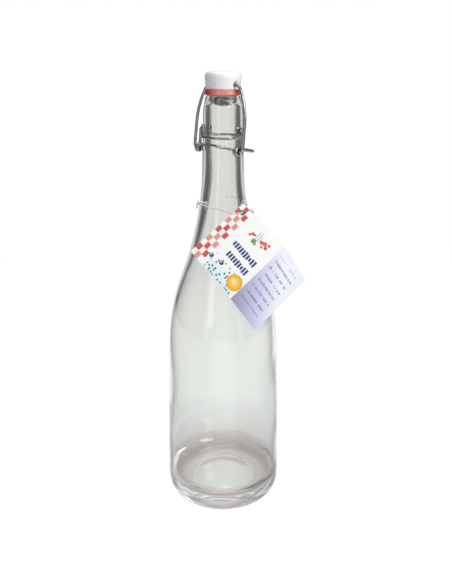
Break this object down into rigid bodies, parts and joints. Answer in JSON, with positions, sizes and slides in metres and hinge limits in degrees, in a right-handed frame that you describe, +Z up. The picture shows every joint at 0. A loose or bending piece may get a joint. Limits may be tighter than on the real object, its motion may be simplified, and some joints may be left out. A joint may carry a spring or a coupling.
{
  "type": "swing top bottle",
  "caption": "Clear glass bottle with a hinged wire closure, white stopper and red rubber gasket, and a folded card tag on a cord round the neck.",
  "frame": {"origin": "middle of the base, on the resting plane, at the bottle's axis", "axes": "+Z up the bottle; the closure's hinge axes run along X, its handle wraps the neck on +Y and the stopper swings off towards -Y"},
  "size_m": [0.1014, 0.0881, 0.3146],
  "materials": {
    "glass": "clear, smooth, very pale green in the thick base",
    "wire": "drawn spring wire, dull bright",
    "stopper": "white, glossy",
    "gasket": "red, satin",
    "card": "coated card, printed",
    "cord": "thin white twisted thread"
  },
  "bodies": {
    "bottle": {"glass_bottle": "glass", "neck_collar": "wire"},
    "lever": {"lever_wire": "wire"},
    "bail": {"bail_wire": "wire"},
    "stopper": {"stopper_head": "stopper", "gasket": "gasket"},
    "cord": {"tag_cord": "cord"},
    "card": {"tag_front": "card"},
    "card_back": {"tag_back": "card"}
  },
  "joints": [
    {"name": "lever_swing", "type": "hinge", "parent": "bottle", "child": "lever", "pos_m": [0, -0.0025, 0.27], "axis": [1, 0, 0], "range_deg": [0, 170]},
    {"name": "bail_swing", "type": "hinge", "parent": "lever", "child": "bail", "pos_m": [0, -0.006, 0.255], "axis": [1, 0, 0], "range_deg": [-115.61, 0]},
    {"name": "stopper_tilt", "type": "hinge", "parent": "bail", "child": "stopper", "pos_m": [0, 0, 0.304], "axis": [1, 0, 0], "range_deg": [-44.21, 0]},
    {"name": "cord_turn", "type": "hinge", "parent": "bottle", "child": "cord", "pos_m": [0, 0, 0.2131], "axis": [0, 0, 1], "continuous": true},
    {"name": "tag_lift", "type": "hinge", "parent": "cord", "child": "card", "pos_m": [0.03146, -0.01411, 0.2131], "axis": [-0.7431, -0.6691, 0], "range_deg": [0, 40]},
    {"name": "tag_fold", "type": "hinge", "parent": "card", "child": "card_back", "pos_m": [0.05025, -0.01934, 0.1756], "axis": [-0.3747, -0.6979, -0.6103], "range_deg": [0, 51]}
  ],
  "couplings": [
    {"joint": "bail_swing", "follows": "lever_swing", "ratio": -0.68},
    {"joint": "stopper_tilt", "follows": "lever_swing", "ratio": -0.26}
  ]
}
